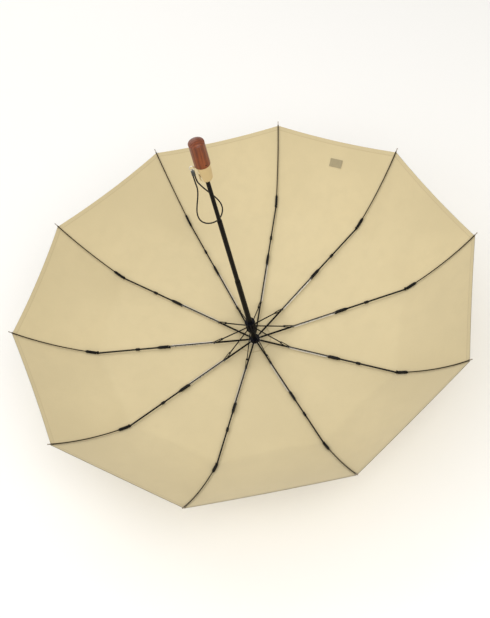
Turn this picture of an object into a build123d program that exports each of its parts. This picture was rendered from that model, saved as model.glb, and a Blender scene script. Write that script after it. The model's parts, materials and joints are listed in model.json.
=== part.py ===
from build123d import *
import os
from math import asin, atan, cos, degrees, pi, radians, sin, tan

# Folding umbrella, standing on its ferrule with the handle up.
# Origin: the ferrule's tip.  +Z runs up the shaft to the handle.  +X runs along the first rib.

# ---------------------------------------------------------------- driving sizes, mm and degrees
rib_count = 10
running = 0.05  # radial clearance of a pin or tube that turns or slides
gap = 0.15  # side clearance between leaves of a hinge
soft_gap = 0.4  # air between cloth and metal
press_gap = 0.01  # radial clearance of pieces pressed together
rivet_gap = 0.02  # radial clearance of a rivet in the piece that holds it
cut_margin = 1.0  # how far a cutting block reaches past what it cuts

hub_height = 22.0  # hinge ring of the notch above the ferrule's tip
hinge_ring_radius = 9.5
hinge_wire_radius = 0.45
notch_radius = 11.5
notch_below = 5.0
notch_above = 4.0
ferrule_radius = 10.5
ferrule_nose_radius = 5.5
nose_sag = 2.5
ferrule_seat = 9.5  # height of the tube's lower end inside the cap
ferrule_rim_length = 4.5
nose_shoulder = 1.5
notch_slot_below = 2.2  # floor of the notch's slots under its hinge ring

upper_tube_radius = 6.0
middle_tube_radius = 5.1
lower_tube_radius = 4.2
tube_wall = 0.5
upper_mouth = 240.0  # height of the open end of the upper tube
middle_travel = 188.0  # slide of the upper tube over the middle tube
lower_travel = 111.0  # slide of the middle tube over the lower tube
mouth_step = 3.0  # what stays between two mouths when the shaft is pushed in
tube_overlap = 24.0
guide_length = 6.0
guide_bite = 0.1  # how far a rolled mouth reaches into its tube's wall
tube_in_grip = 10.0
spring_radius = 4.4
spring_wire = 0.4
spring_turns = 14

runner_radius = 12.0
runner_open_height = 48.4  # hinge ring of the runner above the notch's ring, canopy open
runner_below = 9.0
runner_above = 21.0
slot_width = 2.2
slot_floor_radius = 7.6
runner_round = 0.8
wire_slot_size = (5.0, 4.0)  # length and height of the gaps in the runner's wire

rib_rise = 11.0  # slope of the top and middle ribs, canopy open
top_rib_length = 191.5
middle_rib_length = 167.0
outer_rib_length = 201.5  # straight from pivot to the cloth's corner
outer_rib_rise = 41.0  # slope of that straight line, canopy open
outer_start_rise = 34.5  # slope of the outer rib where it leaves its connector
stretcher_foot = 84.0  # pivot of the stretcher along the top rib
rib_width = 3.0
rib_height = 2.8
channel_width = 2.0
blade_width = 1.6
blade_height = 2.6
middle_width = 2.6
middle_height = 2.4
pivot_radius = 0.7
rib_eye_wall = 1.15
stretcher_eye_wall = 1.05
stretcher_boss_wall = 1.2
root_length = 6.5  # flat root of a top rib between its eye and its channel
groove_ends = (5.0, 6.0)  # plain ends of the channel, inner and outer
groove_height = 6.0
groove_lift = 2.4
fork_reach = 4.0
fork_height = 8.0
first_fork_lift = 2.25  # middle of the fork's cut beyond the pivot
second_fork_lift = 2.0
rivet_head = 0.4
knuckle_radius = 2.2
knuckle_width = 4.4
knuckle_gap = 0.4
tongue_radius = 1.5
stretcher_fork_length = 16.0
stretcher_fork_blend = 4.0
stretcher_end = 5.0  # fork past its pivot
cheek_thickness = 0.7
stretcher_rivet_head = 0.2
first_pivot_drop = 2.4  # pivot of the middle rib below the top rib's centre line
second_pivot_lift = 2.6  # pivot of the outer rib above the middle rib's centre line
first_connector = (20.0, 5.0, 5.5)  # length, width, height
second_connector = (22.0, 4.6, 4.6)
connector_taper = 8.0
clip_place = 74.5  # along the middle rib
clip_size = (9.0, 4.6, 4.4)
clip_gap = 0.02
outer_rod_radius = 1.1
tip_pin_length = 9.0
tip_pin_radius = 0.9
tip_collar_length = 2.5
tip_collar_rise = 0.5
tip_ball_rise = 0.35
link_radius = 0.55
link_side = 3.2
link_lift = 0.3
link_ends = (7.0, 4.5)  # ends of the wire past the stretcher's pivot and short of the joint
link_arm_inset = 1.0
link_arm_thinner = 0.1

cloth = 0.6  # upright thickness of the canopy
patch_radius = 40.0
patch_thickness = 0.4
crown_margin = 2.5  # flat cloth outside the notch
crown_bend_place = 32.0  # where the cloth's slope changes, along the top rib
crown_bend_drop = 4.2
joint_drop = 1.0  # extra air under the second folding joint
bow_steps = 4
patch_hole_margin = 3.5
patch_inset = 1.0
label_size = (32.0, 20.0, 0.3)
label_share = 0.74  # of the last facet but one, outward
label_side = -14.0  # from the middle of the gore

collar_length = 38.2
collar_top_radius = 14.2
collar_low_radius = 12.8
collar_end_radius = 6.6
collar_round = 7.6
collar_bulge = 1.02
grip_radius = 15.25
grip_length = 54.0
grip_dome = 5.0
grip_round = 2.5
grip_chamfer = 0.8
spigot_gap = 0.02
spigot_end_gap = 2.0
pin_direction = 226.0
pin_height = 7.0
pin_radius = 1.3
pin_end_gap = 1.0
pin_sink = 0.1  # pin's end below the wood's face
spigot_radius = 8.0
spigot_length = 28.0

button_direction = 123.0  # compass angle of the button, from +X towards +Y
button_slope = 10.0
button_near = 7.1  # distance from the axis to the button's inner face at the collar's foot
button_gap = 1.8
button_travel = 1.3
button_margin = 5.0
peg_radius = 2.0
button_boss_radius = 3.2
button_length = 26.0
pocket_length = 36.0
peg_height = 14.0  # above the collar's foot
peg_floor = 5.1
spring_floor = 7.6
boss_face = 10.4
boss_gap = 0.2
peg_end_gap = 0.2
peg_bite = 4.0  # how far the peg reaches into the button
button_core = 0.5
button_spring_radius = 2.7
button_spring_wire = 0.25
button_spring_turns = 2
button_spring_margin = 0.35
cutter_height = 30.0
cutter_width = 60.0

lug_direction = 114.4
lug_radius = 16.4  # axis of the ring's hole
lug_thickness = 1.6
lug_width = 4.4
lug_drop = 0.6  # air between lug and grip
lug_root = 4.0
lug_root_inset = 2.0
lug_eye_inset = 0.4
lug_hole_gap = 0.2
ring_radius = 4.6
ring_wire_radius = 0.55
clasp_length = 13.5
clasp_width = 7.2
clasp_depth = 4.2
clasp_corner = 1.4
clasp_chamfer = 0.6
clasp_neck = 2.5
clasp_neck_width = 3.6
clasp_eye_radius = 1.8
clasp_eye_gap = 0.35
clasp_eye_thickness = 1.4
cord_radius = 1.4
cord_spread = 1.7  # half the distance between the cord's ends in the clasp
cord_corner = 0.45  # share of a straight run that each corner may use

# ---------------------------------------------------------------- places worked out from them
middle_mouth = upper_mouth + mouth_step + middle_travel
collar_foot = middle_mouth + mouth_step + lower_travel
grip_foot = collar_foot + collar_length
grip_rim = grip_foot + grip_length
lug_low = grip_foot - lug_thickness - lug_drop
hub = (hinge_ring_radius, hub_height)
cloth_floor = hub_height - notch_below - soft_gap - cloth


def along(start, angle, distance, lift=0.0):
    """Point at a distance along a line from start, moved lift towards the handle side of the line."""
    turn = radians(angle)
    x = start[0] + distance * cos(turn) - lift * sin(turn)
    y = start[1] + distance * sin(turn) + lift * cos(turn)
    return (x, y)


stretcher_lift = 1.6
stretcher_pivot = along(hub, rib_rise, stretcher_foot, stretcher_lift)
top_end = along(hub, rib_rise, top_rib_length)
first_pivot = along(top_end, rib_rise, 0, -first_pivot_drop)
middle_end = along(top_end, rib_rise, middle_rib_length)
second_pivot = along(middle_end, rib_rise, 0, second_pivot_lift)
outer_start = along(second_pivot, outer_start_rise, 0, -second_pivot_lift)
tip_point = along(second_pivot, outer_rib_rise, outer_rib_length)
connector_last = knuckle_radius + knuckle_gap + second_connector[0]
rod_start = along(outer_start, outer_start_rise, connector_last - 1)
rod_reach = (tip_point[0] - rod_start[0], tip_point[1] - rod_start[1])
rod_chord = (rod_reach[0] ** 2 + rod_reach[1] ** 2) ** 0.5
rod_turn = 2 * (degrees(atan(rod_reach[1] / rod_reach[0])) - outer_start_rise)
rod_bend = rod_chord / (2 * sin(radians(rod_turn / 2)))
rod_bend_centre = along(rod_start, outer_start_rise + 90, rod_bend)
runner_height = hub_height + runner_open_height
runner_pivot = (hinge_ring_radius, runner_height)
stretcher_reach = (stretcher_pivot[0] - runner_pivot[0], stretcher_pivot[1] - runner_pivot[1])
stretcher_length = (stretcher_reach[0] ** 2 + stretcher_reach[1] ** 2) ** 0.5
stretcher_fall = degrees(atan(stretcher_reach[1] / stretcher_reach[0]))


def on_rod(share, lift):
    """Point at a share of the bowed outer rod, from 0 at its connector to 1 at the cloth's corner."""
    slope = outer_start_rise + share * rod_turn
    return along(rod_bend_centre, slope - 90, rod_bend - lift)


def compass(direction, radius, height):
    """Point at a compass angle, distance from the axis and height."""
    turn = radians(direction)
    return (radius * cos(turn), radius * sin(turn), height)


def rib_plane(index):
    """Upright plane through the shaft that holds one rib: local x runs outward, local y runs up."""
    turn = radians(-index * 360 / rib_count)
    return Plane(origin=(0, 0, 0), x_dir=(cos(turn), sin(turn), 0), z_dir=(sin(turn), -cos(turn), 0))


def save(piece, name):
    """Label a finished piece and write its file."""
    piece.label = name
    export_step(piece, f"parts/{name}.step")


def gather(*pieces):
    """Several separate solids as one part."""
    with BuildPart() as group:
        for piece in pieces:
            add(piece)
    return group.part


def bar(plane, start, angle, first, last, height, width, lift=0.0, side=0.0):
    """Straight bar in a rib plane, between two distances along a line."""
    with BuildPart() as piece:
        with BuildSketch(plane.offset(side)):
            with Locations(along(start, angle, (first + last) / 2, lift)):
                Rectangle(last - first, height, rotation=angle)
        extrude(amount=width / 2, both=True)
    return piece.part


def disc(plane, centre, radius, width, side=0.0):
    """Round boss or hole with its axis across a rib plane."""
    with BuildPart() as piece:
        with BuildSketch(plane.offset(side)):
            with Locations(centre):
                Circle(radius)
        extrude(amount=width / 2, both=True)
    return piece.part


def taper(plane, start, angle, first, last, size_first, size_last):
    """Block that narrows from one width and height to another along a line in a rib plane."""
    with BuildPart() as piece:
        for distance, size in ((first, size_first), (last, size_last)):
            x, y = along(start, angle, distance)
            origin = plane.from_local_coords((x, y, 0))
            run = plane.from_local_coords((x + cos(radians(angle)), y + sin(radians(angle)), 0)) - origin
            with BuildSketch(Plane(origin=origin, x_dir=plane.z_dir, z_dir=run)):
                Rectangle(size[0], size[1])
        loft(ruled=True)
    return piece.part


def ring(radius, height, wire_radius):
    """Round wire ring about the shaft."""
    with BuildPart() as piece:
        with BuildSketch(Plane.XZ):
            with Locations((radius, height)):
                Circle(wire_radius)
        revolve(axis=Axis.Z)
    return piece.part


def tube(outer, bore, low, high):
    """Plain tube about the shaft."""
    with BuildPart() as piece:
        with BuildSketch(Plane.XY.offset(low)):
            Circle(outer)
            Circle(bore, mode=Mode.SUBTRACT)
        extrude(amount=high - low)
    return piece.part


def hinge_crown(outer, bore, low, high, ring_height, slot_low, slot_high):
    """Slotted hub that holds the ends of all ribs or stretchers round a wire ring."""
    with BuildPart() as piece:
        add(tube(outer, bore, low, high))
        add(ring(hinge_ring_radius, ring_height, hinge_wire_radius + press_gap), mode=Mode.SUBTRACT)
        for index in range(rib_count):
            slot = bar(rib_plane(index), (slot_floor_radius, 0), 0, 0, outer, slot_high - slot_low,
                       slot_width, lift=(slot_low + slot_high) / 2)
            add(slot, mode=Mode.SUBTRACT)
    return piece.part


# ---------------------------------------------------------------- ribs and stretchers
def make_top_rib(index):
    """Channel from the notch to the first folding joint, with the pull link beside it."""
    plane = rib_plane(index)
    eye_radius = hinge_wire_radius + rib_eye_wall
    length = top_rib_length
    with BuildPart() as rib:
        add(disc(plane, hub, eye_radius, blade_width))
        add(bar(plane, hub, rib_rise, 0, root_length + cut_margin, blade_height, blade_width))
        add(bar(plane, hub, rib_rise, root_length, length + knuckle_radius, rib_height, rib_width))
        add(disc(plane, stretcher_pivot, pivot_radius + stretcher_boss_wall, rib_width))
        web_height = first_pivot_drop + rib_height / 2
        web_lift = (rib_height / 2 - first_pivot_drop) / 2
        add(bar(plane, hub, rib_rise, length - knuckle_radius, length + knuckle_radius, web_height,
                knuckle_width, lift=web_lift))
        add(disc(plane, first_pivot, knuckle_radius, knuckle_width))
        groove = bar(plane, hub, rib_rise, root_length + groove_ends[0], length - groove_ends[1],
                     groove_height, channel_width, lift=groove_lift)
        add(groove, mode=Mode.SUBTRACT)
        fork = bar(plane, hub, rib_rise, length - fork_reach, length + fork_reach, fork_height,
                   channel_width, lift=-(first_pivot_drop + first_fork_lift))
        add(fork, mode=Mode.SUBTRACT)
        add(disc(plane, hub, hinge_wire_radius + 2 * running, 2 * blade_width), mode=Mode.SUBTRACT)
        add(disc(plane, stretcher_pivot, pivot_radius + running, 2 * rib_width), mode=Mode.SUBTRACT)
        add(disc(plane, first_pivot, pivot_radius + rivet_gap, 2 * knuckle_width), mode=Mode.SUBTRACT)
    rivet = disc(plane, first_pivot, pivot_radius, knuckle_width + 2 * rivet_head)
    return gather(rib.part, rivet, pull_link(plane))


def pull_link(plane):
    """Wire beside the channel, held by an arm at each end."""
    low = stretcher_foot + link_ends[0]
    high = top_rib_length - link_ends[1]
    first = along(hub, rib_rise, low, link_lift)
    last = along(hub, rib_rise, high, link_lift)
    arm_length = link_side - rib_width / 2 - running
    with BuildPart() as link:
        with BuildLine(plane.offset(link_side)) as run:
            Line(first, last)
        with BuildSketch(Plane(origin=run.line @ 0, z_dir=run.line % 0)):
            Circle(link_radius)
        sweep()
        for place in (low + link_arm_inset, high - link_arm_inset):
            centre = along(hub, rib_rise, place, link_lift)
            add(disc(plane, centre, link_radius - link_arm_thinner, arm_length,
                     side=link_side - arm_length / 2))
    return link.part


def make_stretcher(index):
    """Strut from the runner to the top rib: a flat blade that opens into a fork round the channel."""
    plane = rib_plane(index)
    length = stretcher_length
    fork_start = length - stretcher_fork_length
    mouth_width = rib_width + 2 * gap
    cheek_width = mouth_width + 2 * cheek_thickness
    with BuildPart() as strut:
        add(disc(plane, runner_pivot, hinge_wire_radius + stretcher_eye_wall, blade_width))
        add(bar(plane, runner_pivot, stretcher_fall, 0, fork_start, blade_height, blade_width))
        add(bar(plane, runner_pivot, stretcher_fall, fork_start - stretcher_fork_blend,
                length + stretcher_end, blade_height, cheek_width))
        mouth = bar(plane, runner_pivot, stretcher_fall, fork_start, length + stretcher_end + cut_margin,
                    2 * blade_height, mouth_width)
        add(mouth, mode=Mode.SUBTRACT)
        add(disc(plane, runner_pivot, hinge_wire_radius + 2 * running, 2 * blade_width), mode=Mode.SUBTRACT)
        add(disc(plane, stretcher_pivot, pivot_radius + rivet_gap, 2 * cheek_width), mode=Mode.SUBTRACT)
    rivet = disc(plane, stretcher_pivot, pivot_radius, cheek_width + 2 * stretcher_rivet_head)
    return gather(strut.part, rivet)


def make_middle_rib(index):
    """Bar from the first to the second folding joint, with its moulded connector and the cloth clip."""
    plane = rib_plane(index)
    length = middle_rib_length
    body_first = knuckle_radius + knuckle_gap
    body_last = body_first + first_connector[0]
    with BuildPart() as rib:
        add(disc(plane, first_pivot, tongue_radius, blade_width))
        add(bar(plane, first_pivot, rib_rise, 0, body_first + cut_margin, 2 * tongue_radius, blade_width))
        add(bar(plane, top_end, rib_rise, body_first, body_last, first_connector[2], first_connector[1]))
        narrow = (middle_width, middle_height)
        add(taper(plane, top_end, rib_rise, body_last, body_last + connector_taper, first_connector[1:],
                  narrow))
        add(bar(plane, top_end, rib_rise, body_last, length + knuckle_radius, middle_height, middle_width))
        web_height = second_pivot_lift + middle_height / 2
        web_lift = (second_pivot_lift - middle_height / 2) / 2
        add(bar(plane, top_end, rib_rise, length - knuckle_radius, length + knuckle_radius, web_height,
                knuckle_width, lift=web_lift))
        add(disc(plane, second_pivot, knuckle_radius, knuckle_width))
        fork = bar(plane, top_end, rib_rise, length - fork_reach, length + fork_reach, fork_height,
                   channel_width, lift=second_pivot_lift + second_fork_lift)
        add(fork, mode=Mode.SUBTRACT)
        add(disc(plane, first_pivot, pivot_radius + running, 2 * blade_width), mode=Mode.SUBTRACT)
        add(disc(plane, second_pivot, pivot_radius + rivet_gap, 2 * knuckle_width), mode=Mode.SUBTRACT)
    rivet = disc(plane, second_pivot, pivot_radius, knuckle_width + 2 * rivet_head)
    low = clip_place - clip_size[0] / 2
    high = clip_place + clip_size[0] / 2
    with BuildPart() as clip:
        add(bar(plane, top_end, rib_rise, low, high, clip_size[2], clip_size[1]))
        core = bar(plane, top_end, rib_rise, low - cut_margin, high + cut_margin,
                   middle_height + 2 * clip_gap, middle_width + 2 * clip_gap)
        add(core, mode=Mode.SUBTRACT)
    return gather(rib.part, rivet, clip.part)


def make_outer_rib(index):
    """Springy rod from the second folding joint to the metal tip."""
    plane = rib_plane(index)
    body_last = connector_last
    body_first = body_last - second_connector[0]
    heading = (cos(radians(outer_start_rise)), sin(radians(outer_start_rise)))
    narrow = (2 * outer_rod_radius, 2 * outer_rod_radius)
    with BuildPart() as rib:
        add(disc(plane, second_pivot, tongue_radius, blade_width))
        add(bar(plane, second_pivot, outer_start_rise, 0, body_first + cut_margin, 2 * tongue_radius,
                blade_width))
        add(bar(plane, outer_start, outer_start_rise, body_first, body_last, second_connector[2],
                second_connector[1]))
        add(taper(plane, outer_start, outer_start_rise, body_last, body_last + connector_taper / 2,
                  second_connector[1:], narrow))
        add(disc(plane, second_pivot, pivot_radius + running, 2 * blade_width), mode=Mode.SUBTRACT)
        with BuildLine(plane) as bow:
            TangentArc(rod_start, tip_point, tangent=heading)
        with BuildSketch(Plane(origin=bow.line @ 0, z_dir=bow.line % 0)):
            Circle(outer_rod_radius)
        sweep()
    tip_plane = Plane(origin=bow.line @ 1, z_dir=bow.line % 1)
    with BuildPart() as pin:
        with BuildSketch(tip_plane.offset(rivet_gap)):
            Circle(outer_rod_radius + tip_collar_rise)
        extrude(amount=tip_collar_length)
        with BuildSketch(tip_plane.offset(tip_collar_length)):
            Circle(tip_pin_radius)
        extrude(amount=tip_pin_length - tip_collar_length)
        with Locations(tip_plane.offset(tip_pin_length)):
            Sphere(tip_pin_radius + tip_ball_rise)
    return gather(rib.part, pin.part)


# ---------------------------------------------------------------- hub, shaft and runner
def make_shaft_tube(outer, bore, low, high, neck_bore, flare_radius):
    """Thin tube whose mouth is rolled in and whose foot is rolled out to guide its neighbours."""
    with BuildPart() as piece:
        add(tube(outer, bore, low, high))
        if neck_bore:
            add(tube(bore + guide_bite, neck_bore, high - guide_length, high))
        if flare_radius:
            add(tube(flare_radius, bore, low, low + guide_length))
    return piece.part


def make_runner(low, high):
    """Sliding head that carries the stretchers: every slot is open at both ends and outward."""
    bore = upper_tube_radius + running
    with BuildPart() as piece:
        add(hinge_crown(runner_radius, bore, low, high, runner_height, low - cut_margin, high + cut_margin))
        rims = piece.edges().filter_by(GeomType.CIRCLE)
        fillet(rims.filter_by(lambda edge: edge.radius > runner_radius - running), runner_round)
    return piece.part


def make_runner_wire():
    """Short lengths of hinge wire left in the runner between its slots."""
    with BuildPart() as piece:
        add(ring(hinge_ring_radius, runner_height, hinge_wire_radius))
        for index in range(rib_count):
            slot = bar(rib_plane(index), (slot_floor_radius, runner_height), 0, 0, wire_slot_size[0],
                       wire_slot_size[1], slot_width + boss_gap)
            add(slot, mode=Mode.SUBTRACT)
    return piece.part


def make_ferrule():
    """Cap under the canopy that closes the lower end of the shaft."""
    top = cloth_floor - soft_gap
    rim_low = top - ferrule_rim_length
    shoulder = (ferrule_nose_radius + nose_shoulder, ferrule_seat - nose_shoulder)
    with BuildPart() as cap:
        with BuildSketch(Plane.XZ):
            with BuildLine():
                Polyline((0, 0), (0, top), (ferrule_radius, top), (ferrule_radius, rim_low))
                Line((ferrule_radius, rim_low), shoulder)
                Line(shoulder, (ferrule_nose_radius, nose_sag))
                ball = (ferrule_nose_radius ** 2 + nose_sag ** 2) / (2 * nose_sag)
                half = asin(ferrule_nose_radius / ball) / 2
                middle = (ball * sin(half), ball - ball * cos(half))
                ThreePointArc((ferrule_nose_radius, nose_sag), middle, (0, 0))
            make_face()
        revolve(axis=Axis.Z)
        with BuildSketch(Plane.XY.offset(ferrule_seat)):
            Circle(upper_tube_radius + press_gap)
        extrude(amount=top - ferrule_seat, mode=Mode.SUBTRACT)
    return cap.part


def make_spring(radius, wire_radius, foot, axis, length, turns):
    """Open coil spring that starts at a point and runs along an axis."""
    with BuildPart() as spring:
        with BuildLine() as coil:
            Helix(pitch=length / turns, height=length, radius=radius, center=foot, direction=axis)
        with BuildSketch(Plane(origin=coil.line @ 0, z_dir=coil.line % 0)):
            Circle(wire_radius)
        sweep(is_frenet=True)
    return spring.part


# ---------------------------------------------------------------- cloth
def bowl(stations, rise):
    """Solid that fills a many-sided bowl up to its rim, from radius and height pairs."""
    with BuildPart() as solid:
        for radius, height in stations:
            with BuildSketch(Plane.XY.offset(height + rise)):
                RegularPolygon(radius=radius, side_count=rib_count)
        loft(ruled=True)
    return solid.part


def shell(stations, thickness, hole_radius):
    """Thin bowl with a round hole in its middle."""
    with BuildPart() as solid:
        add(bowl(stations, 0))
        add(bowl(stations, thickness), mode=Mode.SUBTRACT)
        with BuildSketch(Plane.XY.offset(stations[0][1] - cut_margin)):
            Circle(hole_radius)
        extrude(amount=thickness + 2 * cut_margin, mode=Mode.SUBTRACT)
    return solid.part


def facet_rise(width, slope):
    """How far the flat gores rise beside a rib of some width, square to the rib's slope."""
    return width / 2 * tan(pi / rib_count) * sin(radians(slope))


def canopy_stations():
    """Corners of the canopy's lower face along one rib, from the crown to the hem."""
    beside = facet_rise(second_connector[1], outer_start_rise)
    first_lift = -(first_pivot_drop + knuckle_radius + soft_gap + cloth)
    second_lift = -(middle_height / 2 + soft_gap + cloth + joint_drop + beside)
    connector_lift = -(second_connector[2] / 2 + soft_gap + cloth + beside)
    rod_lift = -(outer_rod_radius + tip_collar_rise + soft_gap + cloth)
    bowed = [on_rod(step / bow_steps, rod_lift) for step in range(1, bow_steps + 1)]
    return [
        (notch_radius + crown_margin, cloth_floor),
        along(hub, rib_rise, crown_bend_place, -crown_bend_drop),
        along(hub, rib_rise, top_rib_length, first_lift),
        along(top_end, rib_rise, middle_rib_length, second_lift),
        along(outer_start, outer_start_rise, connector_last, connector_lift),
        *bowed,
    ]


def patch_stations():
    """Corners of the crown patch, just above the canopy's upper face."""
    (crown_radius, floor), (slope_radius, slope_height) = canopy_stations()[:2]
    slope = (slope_height - floor) / (slope_radius - crown_radius)
    low = floor + cloth + soft_gap
    start = crown_radius + patch_inset
    return [(start, low), (patch_radius, low + slope * (patch_radius - start))]


def label_plane():
    """Plane on the upper face of the first gore, near the hem."""
    inner, outer = canopy_stations()[-3:-1]
    radius = inner[0] + label_share * (outer[0] - inner[0])
    height = inner[1] + label_share * (outer[1] - inner[1])
    half_gore = pi / rib_count
    flat = cos(half_gore)
    run = ((outer[0] - inner[0]) * flat, outer[1] - inner[1])
    turn = -half_gore
    across = Vector(-sin(turn), cos(turn), 0)
    middle = Vector(radius * flat * cos(turn), radius * flat * sin(turn), height + cloth + soft_gap)
    upslope = Vector(run[0] * cos(turn), run[0] * sin(turn), run[1]).normalized()
    return Plane(origin=middle + across * label_side, x_dir=across, z_dir=upslope.cross(across))


def make_label():
    """Plain cloth tag on the inside of the first gore."""
    with BuildPart() as label:
        with BuildSketch(label_plane()):
            Rectangle(label_size[0], label_size[1])
        extrude(amount=label_size[2])
    return label.part


# ---------------------------------------------------------------- handle
def collar_blank(bore):
    """Turned outer form of the collar."""
    with BuildPart() as blank:
        with BuildSketch(Plane.XZ):
            with BuildLine():
                low = (collar_low_radius, collar_foot + collar_round)
                Polyline((bore, grip_foot), (bore, collar_foot), (collar_end_radius, collar_foot))
                RadiusArc((collar_end_radius, collar_foot), low, -collar_round * collar_bulge)
                Polyline(low, (collar_top_radius, grip_foot), (bore, grip_foot))
            make_face()
        revolve(axis=Axis.Z)
    return blank.part


def button_cutter(near, low, high):
    """Block outside a face that leans outward by the button's slope."""
    outward = compass(button_direction, 1, 0)
    plane = Plane(origin=(0, 0, 0), x_dir=outward, z_dir=(outward[1], -outward[0], 0))
    return bar(plane, (near, collar_foot), 90 - button_slope, low, high, cutter_height, cutter_width,
               lift=-cutter_height / 2)


def peg(near, far, radius):
    """Round peg or hole along the button's travel, between two distances from the axis."""
    base = Plane(origin=compass(button_direction, near, collar_foot + peg_height),
                 z_dir=compass(button_direction, 1, 0))
    with BuildPart() as piece:
        with BuildSketch(base):
            Circle(radius)
        extrude(amount=far - near)
    return piece.part


def make_collar():
    """Neck between shaft and grip, with the button's pocket, the ring's lug and a spigot."""
    lug_plane = Plane(origin=(0, 0, lug_low), x_dir=compass(lug_direction, 1, 0), z_dir=(0, 0, 1))
    bore = lower_tube_radius + press_gap
    with BuildPart() as collar:
        add(collar_blank(bore))
        add(tube(spigot_radius, bore, grip_foot, grip_foot + spigot_length))
        add(button_cutter(button_near, -3 * cut_margin, pocket_length), mode=Mode.SUBTRACT)
        add(peg(peg_floor, collar_top_radius, peg_radius + running), mode=Mode.SUBTRACT)
        add(peg(spring_floor, collar_top_radius, button_boss_radius + boss_gap), mode=Mode.SUBTRACT)
        with BuildSketch(lug_plane):
            with Locations((lug_radius - lug_root_inset, 0)):
                Rectangle(lug_root, lug_width)
            with Locations((lug_radius, 0)):
                Circle(lug_width / 2 - lug_eye_inset)
                Circle(ring_wire_radius + lug_hole_gap, mode=Mode.SUBTRACT)
        extrude(amount=lug_thickness)
    return collar.part


def make_button():
    """Long thumb button that fills the leaning cut in the collar."""
    near = button_near + button_gap
    with BuildPart() as button:
        add(collar_blank(button_core))
        add(button_cutter(near, button_margin, button_margin + button_length), mode=Mode.INTERSECT)
        add(peg(boss_face, near + peg_bite, button_boss_radius))
        add(peg(peg_floor + button_travel + peg_end_gap, near + peg_bite, peg_radius))
    return button.part


def make_grip():
    """Turned wooden grip with a low dome and a blind hole for the collar's spigot."""
    with BuildPart() as grip:
        with BuildSketch(Plane.XZ):
            with BuildLine():
                low = grip_foot + running
                rim = (grip_radius, grip_rim - grip_round)
                shoulder = (grip_radius - grip_round, grip_rim)
                Polyline((0, low), (grip_radius - grip_chamfer, low), (grip_radius, low + grip_chamfer), rim)
                RadiusArc(rim, shoulder, -grip_round)
                top = (0, grip_rim + grip_dome)
                ball = (shoulder[0] ** 2 + grip_dome ** 2) / (2 * grip_dome)
                half = asin(shoulder[0] / ball) / 2
                ThreePointArc(shoulder, (ball * sin(half), top[1] - ball + ball * cos(half)), top)
                Line(top, (0, low))
            make_face()
        revolve(axis=Axis.Z)
        with BuildSketch(Plane.XY.offset(low)):
            Circle(spigot_radius + spigot_gap)
        extrude(amount=spigot_length + spigot_end_gap, mode=Mode.SUBTRACT)
        add(pin_blank(press_gap, pin_end_gap), mode=Mode.SUBTRACT)
    return grip.part


def pin_blank(clearance, overrun):
    """Cross pin that holds the grip on the spigot, flush with the wood."""
    start = spigot_radius + pin_end_gap
    base = Plane(origin=compass(pin_direction, start, grip_foot + pin_height),
                 z_dir=compass(pin_direction, 1, 0))
    with BuildPart() as pin:
        with BuildSketch(base):
            Circle(pin_radius + clearance)
        extrude(amount=grip_radius - pin_sink - start + overrun)
    return pin.part


# ---------------------------------------------------------------- wrist loop
def local_point(side, depth, height):
    """Point beside the handle: side towards the ring's lug, depth across it, height up the shaft."""
    turn = radians(lug_direction)
    return (side * cos(turn) - depth * sin(turn), side * sin(turn) + depth * cos(turn), height)


def make_ring():
    """Split ring through the lug's hole."""
    plane = Plane(origin=(0, 0, 0), x_dir=compass(lug_direction, 1, 0), z_dir=local_point(0, -1, 0))
    centre = (lug_radius + ring_radius, lug_low + lug_thickness / 2)
    centre_axis = Axis(plane.from_local_coords((*centre, 0)), plane.z_dir)
    section = Plane(origin=plane.from_local_coords((centre[0] + ring_radius, centre[1], 0)), z_dir=(0, 0, 1))
    with BuildPart() as wire:
        with BuildSketch(section):
            Circle(ring_wire_radius)
        revolve(axis=centre_axis)
    return wire.part


def make_clasp():
    """Crimped metal end that holds both ends of the cord and hangs from the ring."""
    side = lug_radius + ring_radius
    base = Plane(origin=local_point(side, 0, clasp_foot), x_dir=compass(lug_direction, 1, 0), z_dir=(0, 0, 1))
    eye_height = lug_low + lug_thickness / 2 - ring_radius
    body_top = clasp_foot + clasp_length - clasp_neck
    eye_plane = Plane(origin=local_point(side, 0, 0), x_dir=local_point(0, 1, 0),
                      z_dir=compass(lug_direction, 1, 0))
    with BuildPart() as clasp:
        with BuildSketch(base):
            RectangleRounded(clasp_width, clasp_depth, clasp_corner)
        extrude(amount=body_top - clasp_foot)
        chamfer(clasp.faces().sort_by(Axis.Z)[-1].edges(), clasp_chamfer)
        with BuildSketch(eye_plane):
            with Locations((0, (body_top - cut_margin + eye_height) / 2)):
                Rectangle(clasp_neck_width, eye_height - body_top + cut_margin)
            with Locations((0, eye_height)):
                Circle(clasp_eye_radius)
                Circle(ring_wire_radius + clasp_eye_gap, mode=Mode.SUBTRACT)
        extrude(amount=clasp_eye_thickness / 2, both=True)
    return clasp.part


def make_cord():
    """Limp round cord: straight runs joined by arcs as large as the runs allow."""
    points = [Vector(*local_point(*place)) for place in cord_places]
    radii = []
    length = 0
    for before, corner, after in zip(points, points[1:], points[2:]):
        turn = radians((corner - before).get_angle(after - corner))
        shorter = min((corner - before).length, (after - corner).length)
        radius = cord_corner * shorter / tan(turn / 2)
        radii.append(radius)
        length += radius * (turn - 2 * tan(turn / 2))
    length += sum((after - before).length for before, after in zip(points, points[1:]))
    with BuildPart() as cord:
        with BuildLine() as route:
            FilletPolyline(*points, radius=radii)
        with BuildSketch(Plane(origin=points[0], z_dir=points[1] - points[0])):
            Circle(cord_radius)
        sweep()
    print("cord radii", [round(radius, 1) for radius in radii])
    section = pi * cord_radius ** 2
    print("cord length", round(length, 1), "volume share", round(cord.part.volume / (section * length), 4))
    return cord.part


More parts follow.
